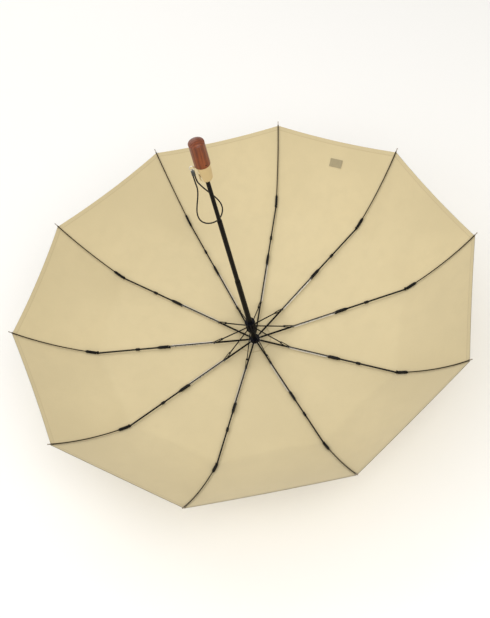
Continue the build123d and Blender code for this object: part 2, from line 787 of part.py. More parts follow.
cord_side = lug_radius + ring_radius
clasp_foot = lug_low + lug_thickness / 2 - ring_radius - clasp_length
cord_places = [
    (cord_side + cord_spread, 0.0, clasp_foot),
    (cord_side + cord_spread, 0.0, 547.0),
    (22.0, -5.0, 524.0),
    (26.0, -10.5, 500.5),
    (33.1, -14.0, 475.0),
    (38.2, -16.0, 452.5),
    (37.4, -17.0, 431.2),
    (27.4, -18.0, 416.0),
    (11.8, -18.5, 411.5),
    (-2.6, -18.0, 418.4),
    (-12.3, -17.5, 436.7),
    (-13.6, -17.0, 456.6),
    (-7.6, -17.0, 475.9),
    (2.6, -16.9, 494.9),
    (10.8, -13.5, 514.0),
    (16.3, -6.5, 533.0),
    (cord_side - cord_spread, 0.0, 548.0),
    (cord_side - cord_spread, 0.0, clasp_foot),
]


# ---------------------------------------------------------------- build and write every piece
def main():
    os.makedirs("parts", exist_ok=True)
    for index in range(rib_count):
        number = f"{index + 1:02d}"
        save(make_top_rib(index), f"top_rib_{number}")
        save(make_stretcher(index), f"stretcher_{number}")
        save(make_middle_rib(index), f"middle_rib_{number}")
        save(make_outer_rib(index), f"outer_rib_{number}")

    notch_low = hub_height - notch_below
    notch_high = hub_height + notch_above
    save(hinge_crown(notch_radius, upper_tube_radius + press_gap, notch_low, notch_high, hub_height,
                     hub_height - notch_slot_below, notch_high + cut_margin), "top_notch")
    save(ring(hinge_ring_radius, hub_height, hinge_wire_radius), "notch_ring_wire")
    runner_low = runner_height - runner_below
    runner_high = runner_height + runner_above
    save(make_runner(runner_low, runner_high), "runner")
    save(make_runner_wire(), "runner_ring_wire")
    save(make_ferrule(), "ferrule_cap")

    upper_bore = upper_tube_radius - tube_wall
    middle_bore = middle_tube_radius - tube_wall
    lower_bore = lower_tube_radius - tube_wall
    save(make_shaft_tube(upper_tube_radius, upper_bore, ferrule_seat, upper_mouth,
                         middle_tube_radius + running, 0), "upper_tube")
    save(make_shaft_tube(middle_tube_radius, middle_bore, upper_mouth - tube_overlap, middle_mouth,
                         lower_tube_radius + running, upper_bore - running), "middle_tube")
    save(make_shaft_tube(lower_tube_radius, lower_bore, middle_mouth - tube_overlap,
                         grip_foot + tube_in_grip,
                         0, middle_bore - running), "lower_tube")
    spring_foot = ferrule_seat + cut_margin
    spring_length = upper_mouth - tube_overlap - cut_margin - spring_foot
    save(make_spring(spring_radius, spring_wire, (0, 0, spring_foot), (0, 0, 1), spring_length,
                     spring_turns), "shaft_spring")

    save(shell(canopy_stations(), cloth, hinge_ring_radius), "canopy")
    save(shell(patch_stations(), patch_thickness, hinge_ring_radius + patch_hole_margin), "crown_patch")
    save(make_label(), "care_label")

    save(make_grip(), "handle_grip")
    save(pin_blank(0, 0), "grip_pin")
    save(make_collar(), "handle_collar")
    save(make_button(), "release_button")
    coil_foot = compass(button_direction, spring_floor + button_spring_margin, collar_foot + peg_height)
    coil_length = boss_face - spring_floor - 2 * button_spring_margin
    save(make_spring(button_spring_radius, button_spring_wire, coil_foot, compass(button_direction, 1, 0),
                     coil_length, button_spring_turns), "button_spring")

    save(make_ring(), "cord_ring")
    save(make_clasp(), "cord_clasp")
    save(make_cord(), "wrist_cord")


if __name__ == "__main__":
    main()
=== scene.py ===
import json
import math

import bpy
import numpy as np
from bpy.props import FloatProperty, FloatVectorProperty, IntProperty, PointerProperty
from mathutils import Matrix, Vector


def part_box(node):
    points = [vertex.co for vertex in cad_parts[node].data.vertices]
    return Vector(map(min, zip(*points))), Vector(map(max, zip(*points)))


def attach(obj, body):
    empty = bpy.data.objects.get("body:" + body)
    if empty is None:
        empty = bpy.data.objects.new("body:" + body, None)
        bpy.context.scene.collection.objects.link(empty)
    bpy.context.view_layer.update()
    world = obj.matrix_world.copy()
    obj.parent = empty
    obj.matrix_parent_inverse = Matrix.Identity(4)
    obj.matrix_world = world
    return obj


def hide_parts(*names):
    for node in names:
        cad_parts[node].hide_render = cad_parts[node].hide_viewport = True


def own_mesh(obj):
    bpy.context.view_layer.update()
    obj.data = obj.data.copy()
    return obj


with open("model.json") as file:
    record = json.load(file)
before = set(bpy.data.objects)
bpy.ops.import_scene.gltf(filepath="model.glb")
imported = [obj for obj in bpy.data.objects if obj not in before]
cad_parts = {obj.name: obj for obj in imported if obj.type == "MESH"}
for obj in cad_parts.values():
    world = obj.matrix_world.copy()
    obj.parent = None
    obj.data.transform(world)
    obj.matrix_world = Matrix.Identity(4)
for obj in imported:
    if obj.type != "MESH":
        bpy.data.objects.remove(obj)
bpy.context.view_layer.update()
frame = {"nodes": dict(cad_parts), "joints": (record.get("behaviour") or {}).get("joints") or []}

bl_info = {
    "name": "Folding umbrella",
    "version": (1, 0, 0),
    "blender": (4, 5, 0),
    "location": "3D View > Sidebar > Umbrella",
    "description": "Cloth, cord and finishes of a ten-rib folding umbrella",
    "category": "Object",
}

# ---------------------------------------------------------------- places read from the frame
joints = {joint["name"]: joint for joint in frame["joints"]}
RIBS = sum(name.startswith("top_rib_") for name in frame["nodes"])
HALF_GORE = math.pi / RIBS
HUB = Vector(joints["canopy_fold"]["pos_m"])
ELBOW = Vector(joints["middle_rib_hinge_01"]["pos_m"])
KNEE = Vector(joints["outer_rib_hinge_01"]["pos_m"])
TIP_BOX = Vector(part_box("outer_rib_01")[1])
LUG = Vector(joints["loop_swing"]["pos_m"])
CLASP_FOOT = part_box("cord_clasp")[0][2]
NOTCH_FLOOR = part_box("top_notch")[0][2]
CAP_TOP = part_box("ferrule_cap")[1][2]


def smoothstep(low, high, value):
    """Smooth rise from 0 at low to 1 at high."""
    share = np.clip((value - low) / (high - low), 0, 1)
    return share * share * (3 - 2 * share)


def soft_max(first, second, width):
    """Larger of two heights, rounded over a width where they cross."""
    return (first + second + np.sqrt((first - second) ** 2 + width ** 2)) / 2


# ---------------------------------------------------------------- settings a user would change
def length(label, text, default):
    """Property for a size in metres."""
    return FloatProperty(name=label, description=text, default=default, unit="LENGTH", precision=5)


def tint(label, text, default):
    """Property for a colour."""
    return FloatVectorProperty(name=label, description=text, default=default, subtype="COLOR", size=3,
                               min=0, max=1)


class ClothSettings(bpy.types.PropertyGroup):
    rib_drop: length("Drop under straight ribs", "Cloth below the line of the top and middle ribs", 0.0064)
    rod_drop: length("Drop under the outer rods", "Cloth outside the line of the bowed rods", 0.0044)
    corner_drop: length("Drop at the corner", "Cloth outside the rod's line at its tip", 0.0024)
    knee_round: length("Bend at the second joint", "Width over which the cloth bends there", 0.004)
    thickness: length("Thickness", "Thickness of one layer of cloth", 0.0004)
    seam_width: length("Seam width", "Half width of the seam allowance along each rib", 0.0042)
    seam_rise: length("Seam rise", "Extra thickness of the seam on the inside", 0.0004)
    hem_width: length("Hem width", "Width of the turned hem", 0.0072)
    hem_rise: length("Hem rise", "Extra thickness of the hem on the inside", 0.0004)
    hem_sag: length("Hem sag", "How far the hem curves in between two tips", 0.0015)
    hem_drop: length("Hem drop", "How far the cloth between ribs stands outside them at the hem", 0.0050)
    pull: length("Pull at the second joint", "How far tension lifts the cloth between ribs there", 0.0100)
    pull_reach: length("Reach of the pull", "Distance over which that lift fades", 0.085)
    patch_radius: length("Crown patch", "Radius of the double cloth round the hub", 0.040)
    colour: tint("Colour", "Colour of the cloth", (0.625, 0.528, 0.318))
    thread: tint("Thread", "Colour of the stitching", (0.36, 0.25, 0.12))


class CordSettings(bpy.types.PropertyGroup):
    diameter: length("Diameter", "Thickness of the wrist cord", 0.0028)
    braid_pitch: length("Braid pitch", "Distance between crossings of the braid", 0.0021)
    strands: IntProperty(name="Strands", description="Ridges round the braid", default=8, min=4, max=16)
    colour: tint("Colour", "Colour of the cord", (0.005, 0.005, 0.006))


class HandleSettings(bpy.types.PropertyGroup):
    wood_light: tint("Light wood", "Colour between the growth rings", (0.215, 0.050, 0.012))
    wood_dark: tint("Dark wood", "Colour of the growth rings", (0.070, 0.012, 0.005))
    plastic: tint("Collar", "Colour of the collar and button", (0.560, 0.420, 0.205))


class StageSettings(bpy.types.PropertyGroup):
    lens: FloatProperty(name="Lens", description="Focal length of the camera", default=48.11,
                        subtype="DISTANCE_CAMERA")
    place: FloatVectorProperty(name="Camera place", description="Where the camera stands",
                               default=(-1.05520, -0.47569, 1.59381), subtype="TRANSLATION", size=3)
    aim: FloatVectorProperty(name="Camera aim", description="Point at the centre of the view",
                             default=(0.02810, 0.01480, 0.10000), subtype="TRANSLATION", size=3)
    roll: FloatProperty(name="Camera roll", description="Turn of the camera about its line of sight",
                        default=math.radians(-16.78), subtype="ANGLE")
    light: FloatProperty(name="Light", description="Strength of the studio lights in watts", default=52.0)


SETTINGS = {"cloth": ClothSettings, "cord": CordSettings, "handle": HandleSettings, "stage": StageSettings}


def settings(group):
    """Settings of one group of pieces."""
    return getattr(bpy.context.scene, f"umbrella_{group}")


# ---------------------------------------------------------------- shader maths
class Signal:
    """One output socket. Arithmetic on signals and numbers adds Math nodes to its material."""

    def __init__(self, paint, socket):
        self.paint = paint
        self.socket = socket

    def maths(self, operation, *terms):
        return self.paint.node("ShaderNodeMath", {"operation": operation}, dict(enumerate(terms)))

    def __add__(self, other):
        return self.maths("ADD", self, other)

    __radd__ = __add__

    def __sub__(self, other):
        return self.maths("SUBTRACT", self, other)

    def __rsub__(self, other):
        return self.maths("SUBTRACT", other, self)

    def __mul__(self, other):
        return self.maths("MULTIPLY", self, other)

    __rmul__ = __mul__

    def __pow__(self, power):
        return self.maths("POWER", self, power)

    def __abs__(self):
        return self.maths("ABSOLUTE", self)

    def sine(self):
        return self.maths("SINE", self)

    def nearest(self):
        return self.maths("ROUND", self)

    def ramp(self, low, high):
        """Smooth rise from 0 at low to 1 at high."""
        return self.paint.node("ShaderNodeMapRange", {"interpolation_type": "SMOOTHSTEP"},
                               {"Value": self, "From Min": low, "From Max": high})


class Paint:
    """Node material of one finish."""

    def __init__(self, name, colour, roughness, **fixed):
        self.material = bpy.data.materials.new(name)
        self.material.use_nodes = True
        self.tree = self.material.node_tree
        self.shader = self.tree.nodes["Principled BSDF"]
        self.material.diffuse_color = (*colour, 1)
        self.feed("Base Color", (*colour, 1))
        self.feed("Roughness", roughness)
        for socket, value in fixed.items():
            self.feed(socket.replace("_", " ").title().replace("Ior", "IOR"), value)

    def feed(self, socket, value):
        """Set one socket of the shader, or link a signal to it."""
        self.plug(self.shader.inputs[socket], value)

    def plug(self, target, value):
        if isinstance(value, Signal):
            self.tree.links.new(value.socket, target)
        else:
            target.default_value = value

    def node(self, kind, options=None, sockets=None, output=0):
        """Any node, from its type, its options and the values or signals of its sockets."""
        made = self.tree.nodes.new(kind)
        for key, value in (options or {}).items():
            setattr(made, key, value)
        for key, value in (sockets or {}).items():
            self.plug(made.inputs[key], value)
        return Signal(self, made.outputs[output])

    def place(self):
        """Object coordinates in metres."""
        return self.node("ShaderNodeTexCoord", output=3)

    def uv(self, name):
        """Own coordinates of a piece, in metres, as two signals."""
        both = self.node("ShaderNodeUVMap", {"uv_map": name})
        return self.split(both)[:2]

    def split(self, vector):
        """Three signals from a vector."""
        parts = self.tree.nodes.new("ShaderNodeSeparateXYZ")
        self.plug(parts.inputs[0], vector)
        return [Signal(self, socket) for socket in parts.outputs]

    def join(self, x, y, z=0.0):
        return self.node("ShaderNodeCombineXYZ", sockets={0: x, 1: y, 2: z})

    def noise(self, scale, detail=3.0, stretch=(1, 1, 1), vector=None):
        """Noise from 0 to 1 over object coordinates, stretched along an axis if wanted."""
        turned = self.node("ShaderNodeMapping", sockets={"Vector": vector or self.place(), "Scale": stretch})
        return self.node("ShaderNodeTexNoise", sockets={"Vector": turned, "Scale": scale, "Detail": detail})

    def blend(self, share, first, second):
        """Mix of two colours."""
        made = self.tree.nodes.new("ShaderNodeMix")
        made.data_type = "RGBA"
        colours = [socket for socket in made.inputs if socket.type == "RGBA"]
        self.plug(made.inputs[0], share)
        for socket, colour in zip(colours, (first, second)):
            self.plug(socket, colour if isinstance(colour, Signal) else (*colour, 1))
        return Signal(self, next(socket for socket in made.outputs if socket.type == "RGBA"))

    def emboss(self, height, distance):
        """Bump from a height signal; distance is the real height of 1, in metres."""
        self.feed("Normal", self.node("ShaderNodeBump", sockets={"Height": height, "Distance": distance}))


def shade(colour, factor):
    """A colour made lighter or darker."""
    return tuple(min(1.0, channel * factor) for channel in colour)


def cloth_finish():
    """Tight plain weave with stitched seams, hem and crown patch, painted shade along the patch's edge,
    slightly uneven in tone.
    """
    given = settings("cloth")
    colour = tuple(given.colour)
    paint = Paint("canopy_cloth", colour, 0.62, sheen_weight=0.22, sheen_roughness=0.45,
                  specular_ior_level=0.35)
    across, along = paint.uv("Weave")
    from_hem, beside = paint.uv("Edges")
    broad = paint.noise(5.0, 2.0)
    cloudy = paint.noise(34.0, 4.0)
    tone = paint.blend(broad.ramp(0.30, 0.72), shade(colour, 0.955), shade(colour, 1.03))
    tone = paint.blend(cloudy.ramp(0.35, 0.75) * 0.45, tone, shade(colour, 0.94))
    thread_turns = 2 * math.pi / 0.00052
    warp = (across * thread_turns).sine()
    weft = (along * thread_turns).sine()
    weave = warp * weft
    slub = paint.noise(900.0, 1.0, stretch=(1, 0.12, 1), vector=paint.join(across, along))
    tone = paint.blend(weave.ramp(-1, 1) * 0.16, tone, shade(colour, 0.86))
    tone = paint.blend(slub.ramp(0.45, 0.8) * 0.12, tone, shade(colour, 1.1))
    seam = 1 - beside.ramp(given.seam_width * 0.9, given.seam_width * 1.1)
    hem = 1 - from_hem.ramp(given.hem_width * 0.95, given.hem_width * 1.05)
    tone = paint.blend(seam * 0.20, tone, shade(colour, 0.78))
    tone = paint.blend(hem * 0.24, tone, shade(colour, 0.80))
    stitch_turns = 2 * math.pi / 0.0026
    seam_line = 1 - abs(beside - given.seam_width * 0.72).ramp(0.0001, 0.00035)
    hem_line = 1 - abs(from_hem - given.hem_width * 0.82).ramp(0.0001, 0.00035)
    patch_line = 1 - abs(along - given.patch_radius + 0.0022).ramp(0.0003, 0.0007)
    # Thin line along the crown patch's edge, which carries painted shade of the patch's step
    patch_edge_shade = 1 - abs(along - given.patch_radius).ramp(0.0002, 0.0009)
    dash_along = (along * stitch_turns).sine().ramp(-0.5, 0.1)
    dash_across = (across * stitch_turns).sine().ramp(-0.5, 0.1)
    stitches = seam_line * dash_along + hem_line * dash_across + patch_line * dash_across
    tone = paint.blend(stitches * 0.75, tone, tuple(given.thread))
    # Dark line along the crown patch's edge, in a darker thread colour: painted shade of the patch's step
    tone = paint.blend(patch_edge_shade * 0.6, tone, shade(tuple(given.thread), 0.8))
    paint.feed("Base Color", tone)
    paint.feed("Roughness", 0.58 + cloudy * 0.12)
    paint.emboss(weave * 0.30 + slub * 0.3 + stitches * 1.4, 0.00012)
    return paint.material


def label_finish():
    """Plain woven tag with a folded edge."""
    colour = shade(tuple(settings("cloth").colour), 0.62)
    paint = Paint("label_cloth", colour, 0.55, sheen_weight=0.3, sheen_roughness=0.4)
    across, along = paint.uv("Weave")
    ribs = (along * (2 * math.pi / 0.0007)).sine()
    threads = (across * (2 * math.pi / 0.0005)).sine()
    tone = paint.blend(ribs.ramp(-1, 1) * 0.4, colour, shade(colour, 0.72))
    tone = paint.blend(paint.noise(260.0).ramp(0.4, 0.7) * 0.3, tone, shade(colour, 1.12))
    paint.feed("Base Color", tone)
    paint.emboss(ribs * 0.6 + threads * 0.3, 0.00012)
    return paint.material


def cord_finish():
    """Round braid: crossing strands with fine fibres, a painted dull shine on the ridges and painted shade
    in the grooves.
    """
    given = settings("cord")
    colour = tuple(given.colour)
    paint = Paint("cord_black", colour, 0.6, specular_ior_level=0.12, sheen_weight=0.03, sheen_roughness=0.5)
    around, along = paint.uv("Braid")
    turns = given.strands * 2 * math.pi
    rise = 2 * math.pi / given.braid_pitch
    left = (around * turns + along * rise).sine()
    right = (around * turns - along * rise).sine()
    braid = left * right
    fibre = paint.noise(2600.0, 2.0)
    # Ridges of the braid lighter and grooves darker: painted highlight and painted shade on the relief
    tone = paint.blend(braid.ramp(-0.8, 0.9), shade(colour, 0.5), shade(colour, 2.6))
    tone = paint.blend(fibre.ramp(0.45, 0.8) * 0.4, tone, shade(colour, 3.5))
    paint.feed("Base Color", tone)
    paint.feed("Roughness", 0.48 + fibre * 0.25)
    paint.emboss(braid + fibre * 0.35, 0.00016)
    return paint.material


def wood_finish():
    """Turned hardwood with its grain up the shaft, under a glossy varnish."""
    given = settings("handle")
    light, dark = tuple(given.wood_light), tuple(given.wood_dark)
    paint = Paint("grip_wood", light, 0.34, specular_ior_level=0.35, coat_weight=0.18, coat_roughness=0.14)
    warp = paint.noise(26.0, 3.0, stretch=(1, 1, 0.35))
    x, y, _ = paint.split(paint.place())
    ring = ((x * 0.86 + y * 0.5 + warp * 0.010) * (2 * math.pi / 0.0044)).sine()
    streak = paint.noise(420.0, 4.0, stretch=(1, 1, 0.045))
    pores = paint.noise(1500.0, 2.0, stretch=(1, 1, 0.03))
    tone = paint.blend(ring.ramp(-0.7, 1.0) * 0.55, light, dark)
    tone = paint.blend(streak.ramp(0.38, 0.74) * 0.55, tone, shade(dark, 0.9))
    tone = paint.blend(pores.ramp(0.60, 0.74) * 0.7, tone, shade(dark, 0.35))
    tone = paint.blend(paint.noise(60.0).ramp(0.5, 0.8) * 0.3, tone, shade(light, 1.35))
    paint.feed("Base Color", tone)
    paint.feed("Roughness", 0.26 + streak * 0.16)
    paint.emboss(streak * 0.4 - pores.ramp(0.6, 0.74) * 0.6, 0.00008)
    return paint.material


def plug_finish():
    """End grain of a dark stained plug."""
    paint = Paint("pin_dark", (0.010, 0.004, 0.003), 0.5, specular_ior_level=0.15)
    speck = paint.noise(2200.0, 3.0)
    paint.feed("Base Color", paint.blend(speck.ramp(0.4, 0.7), (0.005, 0.002, 0.002), (0.025, 0.009, 0.006)))
    paint.feed("Roughness", 0.3 + speck * 0.25)
    paint.emboss(speck, 0.00006)
    return paint.material


def moulded_finish(name, colour, roughness, grain, wear, gloss=0.5):
    """Moulded plastic: fine spark-eroded texture, faint flow tone and rubbed high spots."""
    paint = Paint(name, colour, roughness, specular_ior_level=gloss)
    fine = paint.noise(grain, 2.0)
    flow = paint.noise(70.0, 3.0, stretch=(1, 1, 0.4))
    scuff = paint.noise(380.0, 5.0, stretch=(1, 1, 0.12))
    tone = paint.blend(flow.ramp(0.3, 0.75) * 0.35, colour, shade(colour, 0.86))
    tone = paint.blend(scuff.ramp(0.62, 0.80) * wear, tone, shade(colour, 1.5))
    paint.feed("Base Color", tone)
    paint.feed("Roughness", roughness - 0.06 + fine * 0.12 + scuff.ramp(0.62, 0.80) * 0.10)
    paint.emboss(fine * 0.8 + flow * 0.4, 0.00005)
    return paint.material


def lacquer_finish():
    """Black lacquered tube: drawn lines up the shaft, faint orange peel and sliding marks."""
    colour = (0.004, 0.004, 0.005)
    paint = Paint("black_steel", colour, 0.32, specular_ior_level=0.12)
    drawn = paint.noise(1800.0, 2.0, stretch=(1, 1, 0.012))
    peel = paint.noise(520.0, 2.0)
    rubbed = paint.noise(300.0, 4.0, stretch=(1, 1, 0.03))
    tone = paint.blend(rubbed.ramp(0.60, 0.80) * 0.5, colour, (0.018, 0.018, 0.020))
    tone = paint.blend(drawn.ramp(0.5, 0.8) * 0.25, tone, (0.012, 0.012, 0.014))
    paint.feed("Base Color", tone)
    paint.feed("Roughness", 0.26 + drawn * 0.12 + rubbed * 0.08)
    paint.emboss(peel * 0.6 + drawn * 0.4, 0.00004)
    return paint.material


def beside_rib(paint):
    """Distance from the axis, and sideways distance from the nearest rib's middle plane."""
    x, y, _ = paint.split(paint.place())
    radius = (x * x + y * y) ** 0.5
    turn = x.maths("ARCTAN2", y, x) * (RIBS / (2 * math.pi))
    return radius, abs(turn - turn.nearest()) * radius * (2 * math.pi / RIBS)


def rib_finish():
    """Black coated channel, worn to bright metal on its edges and on the wire beside it."""
    dark, bright = (0.005, 0.005, 0.005), (0.82, 0.81, 0.79)
    paint = Paint("rib_metal", dark, 0.36, specular_ior_level=0.12)
    radius, side = beside_rib(paint)
    brushed = paint.noise(1400.0, 2.0)
    chips = paint.noise(420.0, 5.0)
    outer_half = radius.ramp(0.088, 0.096) * (1 - radius.ramp(0.1955, 0.1985))
    wire = side.ramp(0.00235, 0.0026)
    edge = side.ramp(0.00125, 0.00150) * (1 - side.ramp(0.0016, 0.0019)) * chips.ramp(0.28, 0.55)
    bare = (wire * 0.9 + edge * 0.75) * outer_half
    tone = paint.blend(chips.ramp(0.6, 0.75) * 0.2, dark, (0.03, 0.029, 0.027))
    tone = paint.blend(bare, tone, bright)
    paint.feed("Base Color", tone)
    paint.feed("Metallic", bare)
    paint.feed("Roughness", 0.40 - bare * 0.12 + brushed * 0.12)
    paint.emboss(brushed * 0.5 + chips * 0.4, 0.00004)
    return paint.material


def rod_finish():
    """Dark resin rod with lengthwise fibres and a bare metal tip."""
    dark, tip = (0.012, 0.008, 0.005), (0.30, 0.26, 0.21)
    paint = Paint("rib_fibre", dark, 0.34, specular_ior_level=0.12)
    radius, _ = beside_rib(paint)
    fibre = paint.noise(900.0, 3.0, stretch=(0.15, 0.15, 0.15))
    fine = paint.noise(2600.0, 2.0)
    moulded = 1 - radius.ramp(0.3845, 0.3875)
    pin = radius.ramp(0.51285, 0.51315)
    tone = paint.blend(fibre.ramp(0.35, 0.7) * 0.6, dark, (0.030, 0.019, 0.011))
    tone = paint.blend(moulded, tone, (0.005, 0.005, 0.005))
    tone = paint.blend(pin, tone, tip)
    paint.feed("Base Color", tone)
    paint.feed("Metallic", pin)
    paint.feed("Roughness", 0.30 + fine * 0.16 + moulded * 0.12)
    paint.emboss(fibre * 0.5 + fine * 0.4, 0.00005)
    return paint.material


def metal_finish(name, colour, roughness, line):
    """Bare metal with fine drawing marks and a little tarnish."""
    paint = Paint(name, colour, roughness, metallic=1.0)
    marks = paint.noise(line, 3.0)
    tarnish = paint.noise(190.0, 4.0)
    tone = paint.blend(tarnish.ramp(0.45, 0.8) * 0.4, colour, shade(colour, 0.62))
    paint.feed("Base Color", tone)
    paint.feed("Roughness", roughness + marks * 0.12 + tarnish.ramp(0.45, 0.8) * 0.12)
    paint.emboss(marks, 0.00003)
    return paint.material


# ---------------------------------------------------------------- meshes from arrays
def grid_faces(rows, columns, first=0, flip=False):
    """Quads between neighbouring points of a grid counted row by row from a first index."""
    corner = (np.arange(rows - 1)[:, None] * columns + np.arange(columns - 1)[None, :]).ravel() + first
    quads = np.stack([corner, corner + 1, corner + columns + 1, corner + columns], axis=1)
    return quads[:, ::-1] if flip else quads


def strip_faces(one, other):
    """Quads between two rows of indices of equal length."""
    return np.stack([one[:-1], one[1:], other[1:], other[:-1]], axis=1)


def new_piece(name, points, faces, material, maps=None, normals=None):
    """Object whose mesh has these points and faces, maps per point and, if given, normals per point.

    Faces are an array of quads, or a list where some have more corners.
    """
    mesh = bpy.data.meshes.new(name)
    mesh.from_pydata(points.tolist(), [], faces if isinstance(faces, list) else faces.tolist())
    mesh.materials.append(material)
    mesh.shade_smooth()
    corners = np.empty(len(mesh.loops), dtype=np.int32)
    mesh.loops.foreach_get("vertex_index", corners)
    for map_name, values in (maps or {}).items():
        layer = mesh.uv_layers.new(name=map_name)
        layer.data.foreach_set("uv", values[corners].astype(np.float32).ravel())
    if normals is not None:
        mesh.normals_split_custom_set_from_vertices(normals.tolist())
    piece = bpy.data.objects.new(name, mesh)
    bpy.context.scene.collection.objects.link(piece)
    return piece


def surface_area(points):
    """Area of a grid of points: half the cross product of the diagonals of each quad, added up."""
    first = points[1:, 1:] - points[:-1, :-1]
    second = points[1:, :-1] - points[:-1, 1:]
    return float(np.linalg.norm(np.cross(first, second), axis=2).sum() / 2)


def turned(points, angle):
    """Points turned about the shaft."""
    cosine, sine = math.cos(angle), math.sin(angle)
    return points @ np.array([[cosine, sine, 0], [-sine, cosine, 0], [0, 0, 1]])


# ---------------------------------------------------------------- cloth
KNEE_RISE = 0.0026  # height of the second joint over the line of the straight ribs
RIB_SLOPE = math.atan2(KNEE.z - HUB.z - KNEE_RISE, KNEE.x - HUB.x)
ROD_SLOPE = math.radians(34.5)
ROD_FOOT = (0.02092, 0.01122)  # where the rod leaves its connector, outward and up from its joint
PIN_REACH = (0.0069, 0.0083)  # how far the tip's box stands past the end of the rod
CORNER_REACH = 0.0018  # how far the corner is stretched along the pin, outward and up
CLOTH_START = 0.0095
CROWN_END = 0.0145
KNEE_ZONE = 0.03  # cloth on each side of the second joint that is drawn in closer rows
SAG_POWER = 2.2  # how steeply the sag between ribs grows towards the hem
TENSION_START = 0.12  # radius by which the cloth between ribs moves fully
GATHER_SIDE = 0.0046  # distance from a rib's middle plane at which folded cloth gathers
OUTER_KEEP = 0.034  # share of its width that cloth keeps on a folded outer rib


def tip_point():
    """Radius and height of the cloth's corner: the tip's box less the bare pin."""
    return TIP_BOX.x - PIN_REACH[0] + CORNER_REACH, TIP_BOX.z - PIN_REACH[1] + CORNER_REACH


def rod_circle():
    """Centre and radius of the bowed rod, from its first slope and its two ends."""
    start = np.array([KNEE.x + ROD_FOOT[0], KNEE.z + ROD_FOOT[1]])
    reach = np.array(tip_point()) - start
    turn = math.atan2(reach[1], reach[0]) - ROD_SLOPE
    radius = np.hypot(*reach) / (2 * math.sin(turn))
    centre = start + radius * np.array([-math.sin(ROD_SLOPE), math.cos(ROD_SLOPE)])
    return centre, radius


def cloth_height(radius):
    """Height of the cloth on a rib: flat over the notch, straight under the ribs, then the rod's arc."""
    given = settings("cloth")
    tip, _ = tip_point()
    centre, bend = rod_circle()
    straight = HUB.z + (radius - HUB.x) * math.tan(RIB_SLOPE) - given.rib_drop
    fade = smoothstep(KNEE.x + KNEE_ZONE, tip, radius)
    bend = bend + given.rod_drop + (given.corner_drop - given.rod_drop) * fade
    bowed = centre[1] - np.sqrt(bend ** 2 - (radius - centre[0]) ** 2)
    height = soft_max(straight, bowed, given.knee_round)
    crown = (CAP_TOP + NOTCH_FLOOR) / 2
    return soft_max(height, crown - 0.0001, 0.0004)


def rib_stations():
    """Radii of the rows of the cloth, closer at the crown patch, the joints and the hem."""
    given = settings("cloth")
    tip, _ = tip_point()
    patch = given.patch_radius
    close = np.array([-0.0010, -0.0004, 0.0004, 0.0010])
    hem = tip - given.hem_width + close
    rows = np.concatenate([
        np.linspace(CROWN_END, patch - 0.004, 6),
        patch + close,
        np.linspace(patch + 0.006, ELBOW.x, 16),
        np.linspace(ELBOW.x, KNEE.x - KNEE_ZONE, 16),
        np.linspace(KNEE.x - 0.026, KNEE.x + KNEE_ZONE, 15),
        np.linspace(KNEE.x + 0.036, hem[0] - 0.006, 16),
        hem,
        [tip - 0.003, tip],
    ])
    return np.unique(rows.round(6))


def gore_surface(radius, share):
    """Points of one gore, with its first rib along x, from radius on a rib and share of the gore.

    A point is a share of the straight chord between the same radius on two neighbouring ribs.
    Tension pulls the radius in towards the middle, most at the hem, lifts the middle near the second
    joint and lets it stand outside the chord at the hem: each is scaled by four times the share
    times one less the share.
    """
    given = settings("cloth")
    tip, _ = tip_point()
    swell = 4 * share * (1 - share)
    pulled = radius - given.hem_sag * swell * (radius / tip) ** SAG_POWER
    lift = given.pull * np.exp(-((radius - KNEE.x) / given.pull_reach) ** 2)
    lift = lift - given.hem_drop * smoothstep(KNEE.x, tip, radius)
    height = cloth_height(pulled) + lift * swell * smoothstep(CROWN_END, TENSION_START, radius)
    x = pulled * ((1 - share) + share * math.cos(2 * HALF_GORE))
    y = pulled * share * math.sin(2 * HALF_GORE)
    return np.stack([x, y, height], axis=2)


def grid_normals(points):
    """Unit normals of a grid of points, from the cross product of its two directions."""
    normals = np.cross(np.gradient(points, axis=0), np.gradient(points, axis=1))
    return normals / np.linalg.norm(normals, axis=2)[:, :, None]


def half_gore():
    """Cloth from one rib to the middle of its gore, with the rib along x.

    Columns are closer beside the rib, where the seam allowance lies. Normals in the middle of the
    gore have no sideways part, so that two halves meet smoothly.
    Returns points, normals, and distances from the rib and from the hem.
    """
    given = settings("cloth")
    tip, _ = tip_point()
    radius = rib_stations()[:, None]
    half_width = radius * math.sin(HALF_GORE)
    near = np.minimum(np.array([0.0, 0.6, 0.86, 1.0, 1.14]) * given.seam_width,
                      half_width * np.array([0.0, 0.30, 0.40, 0.46, 0.52]))
    far = near[:, -1:] + (half_width - near[:, -1:]) * np.linspace(0, 1, 18)[None, 1:]
    offset = np.concatenate([near, far], axis=1)
    points = gore_surface(radius, offset / (2 * half_width))
    normals = grid_normals(points)
    middle = np.array([-math.sin(HALF_GORE), math.cos(HALF_GORE), 0])
    normals[:, -1] -= (normals[:, -1] @ middle)[:, None] * middle
    normals /= np.linalg.norm(normals, axis=2)[:, :, None]
    from_hem = np.repeat(tip - radius, offset.shape[1], axis=1)
    return points, normals, offset, from_hem


